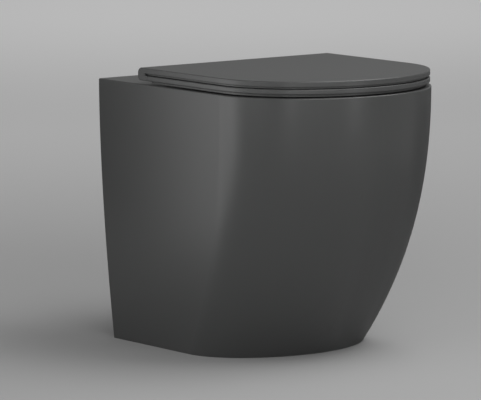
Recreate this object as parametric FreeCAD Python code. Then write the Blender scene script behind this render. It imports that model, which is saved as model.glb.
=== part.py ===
# Back-to-wall, floor-standing toilet: a skirted china pan with a slim seat and lid on soft-close,
# lift-off hinges. Millimetres, +Z up, front towards -Y, wall towards +Y. The origin is on the floor
# in the middle of the pan's footprint. "u" is the distance out from the wall.

import FreeCAD
import Part
import math
import os

# Pan, outside
PAN_WIDTH = 370.0
PAN_DEPTH = 455.0
RIM_HEIGHT = 405.0
RIM_CURVE = 155.0           # depth of the rounded front at the rim
FOOT_CURVE = 112.0          # depth of the rounded front at the floor
FOOT_NARROWING = 27.0       # how far each side draws in at the floor
FOOT_SETBACK = 150.5        # how far the front draws back at the floor
SIDE_POWER = 1.7            # how the sides draw in down the height
FRONT_POWER = 2.35          # how the front draws back down the height
SKIN_STEPS = 8              # levels that carry the outside
PAN_EDGE_RADIUS = 2.0       # round the rim and down the rear corners

# Pan, inside
SKIRT_WALL = 12.0
DECK_THICKNESS = 14.0
REAR_FLANGE = 34.0          # width of the rear face on each side
SERVICE_HEIGHT = 372.0      # top of the opening in the rear face
SERVICE_RADIUS = 26.0
BOWL_WALL = 11.0
SIDE_RIM = 57.0             # width of the rim beside the bowl's mouth
FRONT_RIM = 33.0            # width of the rim in front of the mouth
DECK_DEPTH = 172.0          # from the wall to the back of the mouth
BOWL_REAR = 113.0           # from there to the widest place of the mouth
BOWL_POWER = 1.4            # how the bowl draws in down its depth
BOWL_STEPS = 9              # levels that carry the bowl
SUMP_RADIUS = 28.0          # flat of the bowl's bottom
MOUTH_RADIUS = 5.0

# Trap and flush inlet
OUTLET_HEIGHT = 185.0
SPIGOT_RADIUS = 51.0
TRAP_BORE = 39.0
SPIGOT_RECESS = 22.0        # from the wall to the end of the spigot
SPIGOT_LENGTH = 51.0
TRAP_BEND = 65.0
TRAP_SLOPE = 60.0           # degrees
THROAT_HEIGHT = 57.0
THROAT_RUN = 26.0           # level run from the middle of the sump to the trap's first bend
INLET_HEIGHT = 335.0
INLET_RECESS = 16.0
INLET_BORE = 27.5
INLET_BORE_DEPTH = 52.0
HORN_WALL = 10.0
FLUSH_SLOT_WIDTH = 94.0
FLUSH_SLOT_HEIGHT = 16.0
FLUSH_SLOT_DEPTH = 47.0
FLUSH_SLOT_RISE = 9.0       # slot's middle above the inlet's
PIPE_RADIUS = 22.5          # flush pipe that the inlet seal takes
SEAL_FLANGE = 4.0
SEAL_FLANGE_INSET = 2.0
SEAL_LIP_WIDTH = 7.0

# Seat and lid
EDGE_INSET = 2.0            # seat and lid stand this far inside the rim
SEAT_GAP = 5.0
SEAT_THICKNESS = 8.0
LID_GAP = 2.8
LID_THICKNESS = 8.8
LID_REAR = 97.5             # u of the lid's rear face
LID_SKIN = 4.4              # lid thickness over its hollow underside
LID_BORDER = 32.0
LID_REAR_RADIUS = 8.5
EDGE_RADIUS = 1.8
LOWER_EDGE_RADIUS = 1.5
SEAT_SIDE_RING = 80.0       # width of the seat beside its hole
SEAT_FRONT_RING = 45.0      # width of the seat in front of its hole
SEAT_HOLE_BACK = 194.0      # u of the back of the hole
SEAT_HOLE_REAR = 96.0       # from there to the widest place of the hole
SEAT_INNER_RADIUS = 4.0
RIB_WIDTH = 3.0
SEAT_RIB_INSET = 7.0        # from the seat's outline to the rib under it
SEAT_RIB_GAP = 1.5          # between that rib and the pan's rim
LID_RIB_INSET = 4.0
LID_RIB_GAP = 0.8

# Hinge line
HINGE_SPACING = 155.0
HINGE_BACKSET = 12.0        # from the lid's rear face to the hinge axis
LIP_THICKNESS = 4.0
LIP_RADIUS = 6.5            # lower rounding of the lid's rear end
BARREL_RADIUS = 8.5
BARREL_CLEARANCE = 0.6
SIDE_CLEARANCE = 0.6        # between neighbouring knuckles along the axis
NOTCH_CLEARANCE = 2.4       # between the seat and a hinge block
BLOCK_WIDTH = 37.0
BLOCK_EDGE = 1.5
KNUCKLE_LENGTH = 48.0
CHEEK_BACK = 18.0           # from the lid's rear face to the end of the slit above the seat
PIN_RADIUS = 3.0
PIN_GRIP = 10.0             # how far a pin goes into its block
DAMPER_RADIUS = 6.2
DAMPER_LENGTH = 43.0
PIN_REACH = 28.0            # how far a pin reaches into its bush
CAP_LENGTH = 3.0
FIT_GAP = 0.02              # between pieces pressed together
LOOSE_GAP = 0.1             # between pieces that only pass each other
RUN_GAP = 0.05              # between a pin and what turns on it

# Hinge posts and their fixings
DISC_SETBACK = 3.0          # from the hinge axis forward to the base discs
POST_RADIUS = 5.0
POST_GAP = 0.2
POST_HEIGHT = 8.5
POST_CHAMFER = 1.2
GROOVE_RADIUS = 3.7
GROOVE_HEIGHT = 2.0
GROOVE_LEVEL = 4.0          # above the base disc
STUD_RADIUS = 4.0
STUD_LENGTH = 52.0          # below the deck's top
DISC_RADIUS = 15.0
DISC_THICKNESS = 3.0
BLOCK_LIFT = 0.3
BLOCK_HEEL = 3.0            # from the axis forward to the block's foot
BLOCK_NOSE = 11.0           # from the post to the block's front face
BLOCK_TOP = 0.7             # block's forward part above the axis
DECK_HOLE = 8.0
PLUG_FLANGE = 12.5
PLUG_FLANGE_THICKNESS = 8.0
WASHER_RADIUS = 11.0
WASHER_THICKNESS = 1.6
NUT_FLATS = 13.0
NUT_THICKNESS = 6.5
THIN_NUT = 5.0              # lock nuts and screw heads on the floor brackets

# Release buttons and spring clips
BUTTON_WIDTH = 13.0
BUTTON_HEIGHT = 6.4
BUTTON_PROUD = 2.2
BUTTON_DEPTH = 4.6
BUTTON_TRAVEL = 2.0
BUTTON_GAP = 0.25
BUTTON_EDGE = 1.0
WEDGE_WIDTH = 5.0
WEDGE_LENGTH = 2.2
CLIP_WIRE = 0.7             # radius of the clip's wire
CLIP_GAP = 0.15

# Buffers
BUFFER_RADIUS = 8.0
PEG_RADIUS = 3.0
PEG_LENGTH = 4.0
REST_GAP = 0.2              # between a buffer and what it comes down on
SEAT_BUFFER_REAR = 225.0    # u of the rear seat buffers
LID_BUFFER_REAR = 255.0
BUFFER_FRONT_X = 92.0
SEAT_BUFFER_INSET = 26.0    # front seat buffers from the seat's outline

# Floor brackets
BRACKET_U = 65.0
BRACKET_LENGTH = 56.0
BRACKET_FOOT = 44.0
BRACKET_RISE = 66.0
BRACKET_GAUGE = 4.0
BRACKET_STANDOFF = 16.0     # from the skirt's inner face at the floor
FLOOR_HOLE = 4.5
CLAMP_HEIGHT = 44.0
CLAMP_RADIUS = 4.0
PAD_RADIUS = 14.0
PAD_THICKNESS = 6.0
PAD_GAP = 0.5
CLAMP_TAIL = 15.0

# Overlap of joined shapes, and how far a cut runs past a face
OVERCUT = 1.0

# Worked-out levels and places
Z_AXIS = FreeCAD.Vector(0, 0, 1)
X_AXIS = FreeCAD.Vector(1, 0, 0)
Y_AXIS = FreeCAD.Vector(0, 1, 0)
SEAT_BOTTOM = RIM_HEIGHT + SEAT_GAP
SEAT_TOP = SEAT_BOTTOM + SEAT_THICKNESS
LID_BOTTOM = SEAT_TOP + LID_GAP
LID_TOP = LID_BOTTOM + LID_THICKNESS
HINGE_U = LID_REAR + HINGE_BACKSET
HINGE_Z = SEAT_TOP
LIP_BOTTOM = SEAT_BOTTOM
LIP_DROP = HINGE_Z - LIP_BOTTOM
SWEEP_RADIUS = math.hypot(HINGE_BACKSET - LIP_RADIUS, LIP_DROP - LIP_RADIUS) + LIP_RADIUS
HEEL_RADIUS = SWEEP_RADIUS + SIDE_CLEARANCE
SEAT_REAR = HINGE_U + HEEL_RADIUS
POST_U = HINGE_U + DISC_SETBACK + DISC_RADIUS
HINGE_X = HINGE_SPACING / 2
BLOCK_INNER = HINGE_X - BLOCK_WIDTH / 2
BLOCK_OUTER = HINGE_X + BLOCK_WIDTH / 2
SEAT_KNUCKLE_OUTER = BLOCK_OUTER + SIDE_CLEARANCE + KNUCKLE_LENGTH
LID_KNUCKLE_INNER = BLOCK_INNER - SIDE_CLEARANCE - KNUCKLE_LENGTH
CHEEK_INNER = SEAT_KNUCKLE_OUTER + SIDE_CLEARANCE
DISC_TOP = RIM_HEIGHT + DISC_THICKNESS
BLOCK_BOTTOM = DISC_TOP + BLOCK_LIFT
GROOVE_Z = DISC_TOP + GROOVE_LEVEL
BLOCK_FRONT_U = POST_U + BLOCK_NOSE
DECK_BOTTOM = RIM_HEIGHT - DECK_THICKNESS
RIM_HALF = PAN_WIDTH / 2 - EDGE_INSET
SEAT_FRONT = PAN_DEPTH - EDGE_INSET
SEAT_STRAIGHT = PAN_DEPTH - RIM_CURVE
BOWL_HALF = PAN_WIDTH / 2 - SIDE_RIM
BOWL_CENTRE = DECK_DEPTH + BOWL_REAR
BOWL_FRONT = PAN_DEPTH - FRONT_RIM - BOWL_CENTRE
SEAT_HOLE_HALF = RIM_HALF - SEAT_SIDE_RING
SEAT_HOLE_CENTRE = SEAT_HOLE_BACK + SEAT_HOLE_REAR
SEAT_HOLE_FRONT = SEAT_FRONT - SEAT_FRONT_RING - SEAT_HOLE_CENTRE
WEIR_U = SPIGOT_RECESS + SPIGOT_LENGTH
TRAP_TURN = math.radians(TRAP_SLOPE)
TRAP_RISE = OUTLET_HEIGHT - THROAT_HEIGHT
TRAP_CLIMB = (TRAP_RISE - 2 * TRAP_BEND * (1 - math.cos(TRAP_TURN))) / math.sin(TRAP_TURN)
TRAP_FOOT = WEIR_U + 2 * TRAP_BEND * math.sin(TRAP_TURN) + TRAP_CLIMB * math.cos(TRAP_TURN)
THROAT_U = TRAP_FOOT + THROAT_RUN
QUARTER = 0.5523            # handle length of a cubic that follows a quarter ellipse
SIDES = {"left": -1, "right": 1}


def point(x, u, z):
    """A point from its distance across, its distance out from the wall and its height."""
    return FreeCAD.Vector(x, PAN_DEPTH / 2 - u, z)


def box(x0, x1, u0, u1, z0, z1):
    """A block between two distances across, two from the wall and two heights."""
    return Part.makeBox(x1 - x0, u1 - u0, z1 - z0, point(x0, u1, z0))


def upright(radius, x, u, z0, z1):
    """A vertical cylinder."""
    return Part.makeCylinder(radius, z1 - z0, point(x, u, z0), Z_AXIS)


def across(radius, x0, x1, u=HINGE_U, z=HINGE_Z):
    """A cylinder along X, by default on the hinge axis."""
    return Part.makeCylinder(radius, x1 - x0, point(x0, u, z), X_AXIS)


def inward(radius, u0, u1, x, z):
    """A cylinder square to the wall."""
    return Part.makeCylinder(radius, u1 - u0, point(x, u1, z), Y_AXIS)


def span(side, near, far):
    """Two distances from the middle as low and high X on one side."""
    return (near, far) if side > 0 else (-far, -near)


def quarter(start, corner, end):
    """A quarter ellipse from start to end, both tangent towards corner."""
    curve = Part.BezierCurve()
    first = start + (corner - start) * QUARTER
    second = end + (corner - end) * QUARTER
    curve.setPoles([start, first, second, end])
    return curve.toShape()


def d_wire(half, rear, straight, front, z):
    """A D seen from above: straight back and sides, and a front that is half an ellipse."""
    return Part.Wire([
        Part.makeLine(point(-half, rear, z), point(-half, straight, z)),
        quarter(point(-half, straight, z), point(-half, front, z), point(0, front, z)),
        quarter(point(0, front, z), point(half, front, z), point(half, straight, z)),
        Part.makeLine(point(half, straight, z), point(half, rear, z)),
        Part.makeLine(point(half, rear, z), point(-half, rear, z)),
    ])


def egg_wire(half, centre, front, rear, z):
    """An egg seen from above, from four quarter ellipses."""
    right, left = point(half, centre, z), point(-half, centre, z)
    tip, back = point(0, centre + front, z), point(0, centre - rear, z)
    return Part.Wire([
        quarter(left, point(-half, centre + front, z), tip),
        quarter(tip, point(half, centre + front, z), right),
        quarter(right, point(half, centre - rear, z), back),
        quarter(back, point(-half, centre - rear, z), left),
    ])


def raised(wire, height):
    """A prism on a flat wire."""
    return Part.Face(wire).extrude(FreeCAD.Vector(0, 0, height))


def loft(wires):
    return Part.makeLoft(wires, True, False)


def one_solid(shape):
    """The single solid of a boolean result, with its split faces joined again."""
    return shape.removeSplitter().Solids[0]


def edges_at(shape, z, test):
    """The edges lying at one height whose middle passes a test on x and u."""
    found = []
    for edge in shape.Edges:
        box_of = edge.BoundBox
        if abs(box_of.ZMin - z) < 1e-3 and abs(box_of.ZMax - z) < 1e-3:
            middle = edge.valueAt((edge.FirstParameter + edge.LastParameter) / 2)
            if test(middle.x, PAN_DEPTH / 2 - middle.y):
                found.append(edge)
    return found


def skirt_half(z):
    """Half the pan's outside width at a height."""
    return PAN_WIDTH / 2 - FOOT_NARROWING * (1 - z / RIM_HEIGHT) ** SIDE_POWER


def skirt_section(z, inset, rear):
    """The pan's outside at a height, drawn in by inset."""
    share = (1 - z / RIM_HEIGHT) ** FRONT_POWER
    front = PAN_DEPTH - FOOT_SETBACK * share
    straight = front - RIM_CURVE - (FOOT_CURVE - RIM_CURVE) * share
    return d_wire(skirt_half(z) - inset, rear, straight, front - inset, z)


def skin(inset, rear, top):
    """The pan's outside, or with an inset its hollow, from the floor to a height."""
    levels = [top * step / (SKIN_STEPS - 1) for step in range(SKIN_STEPS)]
    return loft([skirt_section(z, inset, rear) for z in levels])


def bowl(grown, top):
    """The bowl's inside, or with a wall thickness its outside, from a height down to the sump."""
    low = THROAT_HEIGHT - TRAP_BORE - grown
    wires = []
    for step in range(BOWL_STEPS):
        down = step / (BOWL_STEPS - 1)
        keep = math.cos(math.pi / 2 * down) ** BOWL_POWER if step < BOWL_STEPS - 1 else 0.0
        sizes = [SUMP_RADIUS + (mouth - SUMP_RADIUS) * keep + grown
                 for mouth in (BOWL_HALF, BOWL_FRONT, BOWL_REAR)]
        centre = THROAT_U + (BOWL_CENTRE - THROAT_U) * keep
        wires.append(egg_wire(sizes[0], centre, sizes[1], sizes[2], top + (low - top) * down))
    return loft(wires)


def trap_bend(centre_u, centre_z, turns):
    """Points on one of the trapway's bends."""
    return [point(0, centre_u - TRAP_BEND * math.sin(turn), centre_z - TRAP_BEND * math.cos(turn))
            for turn in turns]


def trap_tube(radius, end):
    """The trapway: level out of the sump, up over the weir and level to the spigot."""
    low = trap_bend(TRAP_FOOT, THROAT_HEIGHT + TRAP_BEND, (0, TRAP_TURN / 2, TRAP_TURN))
    high = trap_bend(WEIR_U, OUTLET_HEIGHT - TRAP_BEND,
                     (math.pi + TRAP_TURN, math.pi + TRAP_TURN / 2, math.pi))
    start = point(0, THROAT_U, THROAT_HEIGHT)
    path = Part.Wire([
        Part.makeLine(start, low[0]),
        Part.Arc(*low).toShape(),
        Part.makeLine(low[2], high[0]),
        Part.Arc(*high).toShape(),
        Part.makeLine(high[2], point(0, end, OUTLET_HEIGHT)),
    ])
    ring = Part.Wire(Part.makeCircle(radius, start, Y_AXIS))
    return path.makePipeShell([ring], True, False)


def flush_way(grown, start, end):
    """The flush channel: a round horn that opens into a wide slot behind the bowl."""
    round_end = DECK_DEPTH - BOWL_WALL
    horn = inward(INLET_BORE + grown, start, min(round_end, end), 0, INLET_HEIGHT)
    half = FLUSH_SLOT_WIDTH / 2 + grown
    slot_z = INLET_HEIGHT + FLUSH_SLOT_RISE
    tall = FLUSH_SLOT_HEIGHT / 2 + grown
    slot = box(-half, half, round_end - FLUSH_SLOT_DEPTH - grown, end,
               slot_z - tall, slot_z + tall)
    return horn.fuse(slot)


def service_opening():
    """The opening in the pan's rear face that the pipes pass through."""
    half = skirt_half(0) - REAR_FLANGE
    deep = SKIRT_WALL * 2
    cut = box(-half, half, -deep, deep, -deep, SERVICE_HEIGHT)
    top = [e for e in cut.Edges if abs(e.BoundBox.ZMin - SERVICE_HEIGHT) < 1e-6
           and e.BoundBox.YLength > deep]
    return cut.makeFillet(SERVICE_RADIUS, top)


def rear_edges(shape):
    """The two upright edges of the pan's rear face."""
    wall = point(0, 0, 0).y
    return [edge for edge in shape.Edges if abs(edge.BoundBox.YMin - wall) < 1e-3
            and edge.BoundBox.ZLength > RIM_HEIGHT / 2]


def in_mouth(x, u):
    """Whether a place on the deck is at the bowl's mouth or inside it."""
    reach = BOWL_FRONT if u > BOWL_CENTRE else BOWL_REAR
    return math.hypot(x / (BOWL_HALF + OVERCUT), (u - BOWL_CENTRE) / (reach + OVERCUT)) < 1


def pan_shell():
    """The skirt and the deck, hollow and open below and behind, with the bowl's mouth in the deck."""
    outside = skin(0.0, -OVERCUT, RIM_HEIGHT)
    outside = outside.cut(box(-PAN_WIDTH, PAN_WIDTH, -2 * OVERCUT, 0, 0, RIM_HEIGHT))
    at_rim = edges_at(outside, RIM_HEIGHT, lambda x, u: True)
    outside = outside.makeFillet(PAN_EDGE_RADIUS, rear_edges(outside) + at_rim)
    hollow = skin(SKIRT_WALL, SKIRT_WALL, DECK_BOTTOM)
    shell = outside.cut(hollow).cut(service_opening()).cut(bowl(0.0, RIM_HEIGHT))
    shell = shell.makeFillet(MOUTH_RADIUS, edges_at(shell, RIM_HEIGHT, in_mouth))
    for side in SIDES.values():
        shell = shell.cut(upright(DECK_HOLE, side * HINGE_X, POST_U,
                                  DECK_BOTTOM - OVERCUT, RIM_HEIGHT + OVERCUT))
    return one_solid(shell)


def bowl_outside():
    """The bowl with its wall, up to the deck, and the round sump that the trapway leaves."""
    sump = Part.makeSphere(SPIGOT_RADIUS, point(0, THROAT_U, THROAT_HEIGHT))
    return bowl(BOWL_WALL, DECK_BOTTOM).fuse(sump)


def trap_bore():
    sump = Part.makeSphere(TRAP_BORE, point(0, THROAT_U, THROAT_HEIGHT))
    return trap_tube(TRAP_BORE, SPIGOT_RECESS - OVERCUT).fuse(sump)


def pan_bowl():
    """The bowl, from the underside of the deck down to its sump."""
    body = bowl_outside().cut(bowl(0.0, RIM_HEIGHT)).cut(trap_bore())
    return one_solid(body.cut(flush_way(0.0, INLET_RECESS, BOWL_CENTRE)))


def pan_trapway():
    """The trapway from the sump over the weir to the outlet spigot."""
    return one_solid(trap_tube(SPIGOT_RADIUS, SPIGOT_RECESS).cut(bowl_outside()).cut(trap_bore()))


def pan_flush_horn():
    """The flush inlet's horn and the channel from it to the bowl."""
    horn = flush_way(HORN_WALL, INLET_RECESS, BOWL_CENTRE).cut(bowl_outside())
    horn = horn.cut(bowl(0.0, RIM_HEIGHT))
    return one_solid(horn.cut(flush_way(0.0, INLET_RECESS - OVERCUT, BOWL_CENTRE)))


def plain_ring(outer, inner, x0, x1):
    """A tube on the hinge axis."""
    return across(outer, x0, x1).cut(across(inner, x0 - OVERCUT, x1 + OVERCUT))


def outer_edges(shape, z):
    """The edges of the seat's or lid's outer outline at a height, without the rear."""
    return edges_at(shape, z, lambda x, u: abs(x) > RIM_HALF - 1e-3 or
                    abs(u - rim_line(x, 0.0)) < OVERCUT)


def pegs(places, z0, z1, radius):
    return [upright(radius, x, u, z0, z1) for x, u in places]


def rim_line(x, inset):
    """u of the seat's front outline at a distance across, drawn in by inset."""
    half = RIM_HALF - inset
    straight = SEAT_STRAIGHT
    return straight + (SEAT_FRONT - inset - straight) * math.sqrt(1 - (x / half) ** 2)


def edge_rib(inset, rear, z0, z1):
    """A narrow rib under the seat or the lid, along the sides and round the front."""
    within = inset + RIB_WIDTH
    rib = raised(d_wire(RIM_HALF - inset, rear, SEAT_STRAIGHT, SEAT_FRONT - inset, z0), z1 - z0)
    return rib.cut(raised(d_wire(RIM_HALF - within, rear - OVERCUT, SEAT_STRAIGHT,
                                 SEAT_FRONT - within, z0), z1 - z0))


def seat_buffer_places():
    side_x = (RIM_HALF + BOWL_HALF) / 2
    front_u = rim_line(BUFFER_FRONT_X, SEAT_BUFFER_INSET)
    places = [(side_x, SEAT_BUFFER_REAR), (BUFFER_FRONT_X, front_u)]
    return places + [(-x, u) for x, u in places]


def lid_buffer_places():
    side_x = RIM_HALF - LID_BORDER / 2
    front_u = rim_line(BUFFER_FRONT_X, LID_BORDER / 2)
    places = [(side_x, LID_BUFFER_REAR), (BUFFER_FRONT_X, front_u)]
    return places + [(-x, u) for x, u in places]


def seat_ring():
    """The seat: a flat D ring with a rib below, a hollow heel round the lid's rear end, and two knuckles."""
    plate = raised(d_wire(RIM_HALF, HINGE_U, SEAT_STRAIGHT, SEAT_FRONT, SEAT_BOTTOM), SEAT_THICKNESS)
    hole = raised(egg_wire(SEAT_HOLE_HALF, SEAT_HOLE_CENTRE, SEAT_HOLE_FRONT,
                           SEAT_HOLE_REAR, SEAT_BOTTOM), SEAT_THICKNESS)
    plate = plate.cut(hole)
    outline = outer_edges(plate, SEAT_TOP) + outer_edges(plate, SEAT_BOTTOM)
    plate = plate.makeFillet(EDGE_RADIUS, outline)
    in_hole = edges_at(plate, SEAT_TOP, lambda x, u: abs(x) < SEAT_HOLE_HALF
                       and abs(u - SEAT_HOLE_CENTRE) < SEAT_HOLE_FRONT)
    plate = plate.makeFillet(SEAT_INNER_RADIUS, in_hole)
    plate = plate.cut(across(HEEL_RADIUS, -PAN_WIDTH, PAN_WIDTH))
    plate = plate.fuse(edge_rib(SEAT_RIB_INSET, SEAT_REAR + EDGE_RADIUS, RIM_HEIGHT + SEAT_RIB_GAP,
                                SEAT_BOTTOM + OVERCUT))
    knuckle_z = HINGE_Z - BARREL_RADIUS
    for side in SIDES.values():
        x0, x1 = span(side, BLOCK_OUTER + SIDE_CLEARANCE, SEAT_KNUCKLE_OUTER)
        arm = box(x0, x1, HINGE_U, SEAT_REAR + EDGE_RADIUS, knuckle_z, SEAT_TOP)
        plate = plate.fuse([across(BARREL_RADIUS, x0, x1), arm])
        plate = plate.cut(across(DAMPER_RADIUS, x0 - OVERCUT, x1 + OVERCUT))
        n0, n1 = span(side, BLOCK_INNER - NOTCH_CLEARANCE, BLOCK_OUTER + SIDE_CLEARANCE)
        plate = plate.cut(box(n0, n1, HINGE_U, BLOCK_FRONT_U + BUTTON_PROUD + NOTCH_CLEARANCE,
                              SEAT_BOTTOM - OVERCUT, SEAT_TOP + OVERCUT))
    for peg in pegs(seat_buffer_places(), SEAT_BOTTOM - OVERCUT, SEAT_BOTTOM + PEG_LENGTH, PEG_RADIUS):
        plate = plate.cut(peg)
    return one_solid(plate)


def lid_cheek(x0, x1):
    """A thick rear end of the lid: in side view a C whose lower arm is round where it meets the seat."""
    middle = LID_TOP - LID_THICKNESS / 2
    slit_end = LID_REAR + CHEEK_BACK
    arm_front = HINGE_U + SWEEP_RADIUS
    rear = Part.makePolygon([
        point(x0, LID_REAR, middle), point(x0, LID_REAR, LIP_BOTTOM), point(x0, arm_front, LIP_BOTTOM),
        point(x0, arm_front, SEAT_TOP), point(x0, slit_end, SEAT_TOP), point(x0, slit_end, middle),
        point(x0, LID_REAR, middle)])
    cheek = Part.Face(Part.Wire(rear)).extrude(X_AXIS * (x1 - x0))
    beyond = box(x0, x1, HINGE_U, arm_front + OVERCUT, LIP_BOTTOM - OVERCUT, SEAT_TOP)
    return cheek.cut(beyond.cut(across(SWEEP_RADIUS, x0 - OVERCUT, x1 + OVERCUT)))


def lid():
    """The lid: a slim plate with a hollow underside, and a rear edge that rolls over the hinges."""
    straight = SEAT_STRAIGHT
    plate = raised(d_wire(RIM_HALF, LID_REAR, straight, SEAT_FRONT, LID_BOTTOM), LID_THICKNESS)
    plate = plate.makeFillet(LOWER_EDGE_RADIUS, outer_edges(plate, LID_BOTTOM))
    hollow = raised(d_wire(RIM_HALF - LID_BORDER, SEAT_REAR + LID_BORDER / 2, straight,
                           SEAT_FRONT - LID_BORDER, LID_BOTTOM), LID_THICKNESS - LID_SKIN)
    lip = box(-RIM_HALF, RIM_HALF, LID_REAR, LID_REAR + LIP_THICKNESS, LIP_BOTTOM, LID_BOTTOM + OVERCUT)
    cheeks = [lid_cheek(*span(side, CHEEK_INNER, RIM_HALF)) for side in SIDES.values()]
    shape = plate.fuse([lip] + cheeks).cut(hollow)
    centre = point(0, LID_REAR + LID_REAR_RADIUS, LID_TOP - LID_REAR_RADIUS)
    roll = box(-PAN_WIDTH, PAN_WIDTH, LID_REAR - OVERCUT, LID_REAR + LID_REAR_RADIUS,
               LID_TOP - LID_REAR_RADIUS, LID_TOP + OVERCUT)
    roll = roll.cut(across(LID_REAR_RADIUS, -PAN_WIDTH, PAN_WIDTH, LID_REAR + LID_REAR_RADIUS,
                           centre.z))
    toe = box(-PAN_WIDTH, PAN_WIDTH, LID_REAR - OVERCUT, LID_REAR + LIP_RADIUS,
              LIP_BOTTOM - OVERCUT, LIP_BOTTOM + LIP_RADIUS)
    toe = toe.cut(across(LIP_RADIUS, -PAN_WIDTH, PAN_WIDTH, LID_REAR + LIP_RADIUS,
                         LIP_BOTTOM + LIP_RADIUS))
    shape = one_solid(shape.cut(roll).cut(toe))
    shape = shape.makeFillet(EDGE_RADIUS, lid_outline(shape))
    shape = shape.fuse(edge_rib(LID_RIB_INSET, LID_REAR + CHEEK_BACK - OVERCUT, SEAT_TOP + LID_RIB_GAP,
                                LID_BOTTOM + OVERCUT))
    relief = BARREL_RADIUS + BARREL_CLEARANCE
    for side in SIDES.values():
        x0, x1 = span(side, LID_KNUCKLE_INNER, BLOCK_INNER - SIDE_CLEARANCE)
        shape = shape.fuse(across(BARREL_RADIUS, x0, x1))
        shape = shape.cut(across(DAMPER_RADIUS, x0 - OVERCUT, x1 + OVERCUT))
        r0, r1 = span(side, BLOCK_INNER - SIDE_CLEARANCE, CHEEK_INNER)
        shape = shape.cut(across(relief, r0, r1))
        shape = shape.cut(box(r0, r1, LID_REAR - OVERCUT, HINGE_U, LIP_BOTTOM - OVERCUT, LID_BOTTOM))
    for peg in pegs(lid_buffer_places(), LID_BOTTOM - OVERCUT, LID_BOTTOM + PEG_LENGTH, PEG_RADIUS):
        shape = shape.cut(peg)
    return one_solid(shape)


def lid_outline(shape):
    """The lid's outer top edge: round the front, along the sides and down and under the rear ends."""
    found = outer_edges(shape, LID_TOP)
    for edge in shape.Edges:
        middle = edge.valueAt((edge.FirstParameter + edge.LastParameter) / 2)
        flat = edge.BoundBox.XLength < 1e-6 and abs(abs(middle.x) - RIM_HALF) < 1e-6
        behind = PAN_DEPTH / 2 - middle.y < LID_REAR + LID_REAR_RADIUS
        under = abs(middle.z - LIP_BOTTOM) < 1e-6
        if flat and (under or behind and abs(middle.z - LID_TOP) > 1e-6):
            found.append(edge)
    return found


def buffers(places, low, high):
    """Rubber buffers: a pad and the peg that holds it."""
    solids = []
    for x, u in places:
        pad = upright(BUFFER_RADIUS, x, u, low, high)
        pad = pad.makeFillet((high - low) / 4, edges_at(pad, low, lambda x, u: True))
        solids.append(pad.fuse(upright(PEG_RADIUS - FIT_GAP, x, u, high - (high - low) / 4,
                                       high + PEG_LENGTH - REST_GAP)))
    return [s.removeSplitter().Solids[0] for s in solids]


def hinge_block(side):
    """The fixed part of a hinge: a barrel for the pins and a socket that drops on the post."""
    x0, x1 = span(side, BLOCK_INNER, BLOCK_OUTER)
    x = side * HINGE_X
    top = HINGE_Z + BLOCK_TOP
    body = box(x0, x1, HINGE_U + BLOCK_HEEL, BLOCK_FRONT_U, BLOCK_BOTTOM, top)
    front = [e for e in body.Edges if abs(e.BoundBox.YMax - point(0, BLOCK_FRONT_U, 0).y) < 1e-6]
    body = body.makeFillet(BLOCK_EDGE, front)
    body = body.fuse(across(BARREL_RADIUS, x0, x1))
    body = body.cut(upright(POST_RADIUS + POST_GAP, x, POST_U, BLOCK_BOTTOM - OVERCUT,
                            DISC_TOP + POST_HEIGHT + POST_GAP * 2))
    for a, b in ((x0, x0 + PIN_GRIP), (x1 - PIN_GRIP, x1)):
        body = body.cut(across(PIN_RADIUS + FIT_GAP, a, b))
    pocket_half = BUTTON_WIDTH / 2 + BUTTON_GAP
    pocket_tall = BUTTON_HEIGHT / 2 + BUTTON_GAP
    pocket_back = BLOCK_FRONT_U + BUTTON_PROUD - BUTTON_DEPTH - BUTTON_TRAVEL - BUTTON_GAP
    body = body.cut(box(x - pocket_half, x + pocket_half, pocket_back, BLOCK_FRONT_U + OVERCUT,
                        GROOVE_Z - pocket_tall, GROOVE_Z + pocket_tall))
    slot_half = clip_half() + CLIP_WIRE + CLIP_GAP * 2
    slot_tall = CLIP_WIRE + CLIP_GAP
    body = body.cut(box(x - slot_half, x + slot_half, clip_back() - CLIP_WIRE - CLIP_GAP * 2,
                        BLOCK_FRONT_U, GROOVE_Z - slot_tall, GROOVE_Z + slot_tall))
    return one_solid(body)


def clip_half():
    """From the middle of a post to the middle of each leg of its clip."""
    return GROOVE_RADIUS + CLIP_GAP + CLIP_WIRE


def clip_back():
    """u of the clip's bend, at the middle of its wire, behind the post."""
    return POST_U - clip_half() - CLIP_GAP


def clip_front():
    return BLOCK_FRONT_U + BUTTON_PROUD - BUTTON_DEPTH - BUTTON_TRAVEL - BUTTON_GAP * 2


def retaining_clip(side):
    """A U of spring wire whose legs lie in the post's groove."""
    x, half = side * HINGE_X, clip_half()
    front, bend = clip_front(), clip_back() + half
    path = Part.Wire([
        Part.makeLine(point(x - half, front, GROOVE_Z), point(x - half, bend, GROOVE_Z)),
        Part.Arc(point(x - half, bend, GROOVE_Z), point(x, bend - half, GROOVE_Z),
                 point(x + half, bend, GROOVE_Z)).toShape(),
        Part.makeLine(point(x + half, bend, GROOVE_Z), point(x + half, front, GROOVE_Z)),
    ])
    ring = Part.Wire(Part.makeCircle(CLIP_WIRE, point(x - half, front, GROOVE_Z), Y_AXIS))
    return path.makePipeShell([ring], True, False)


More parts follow.
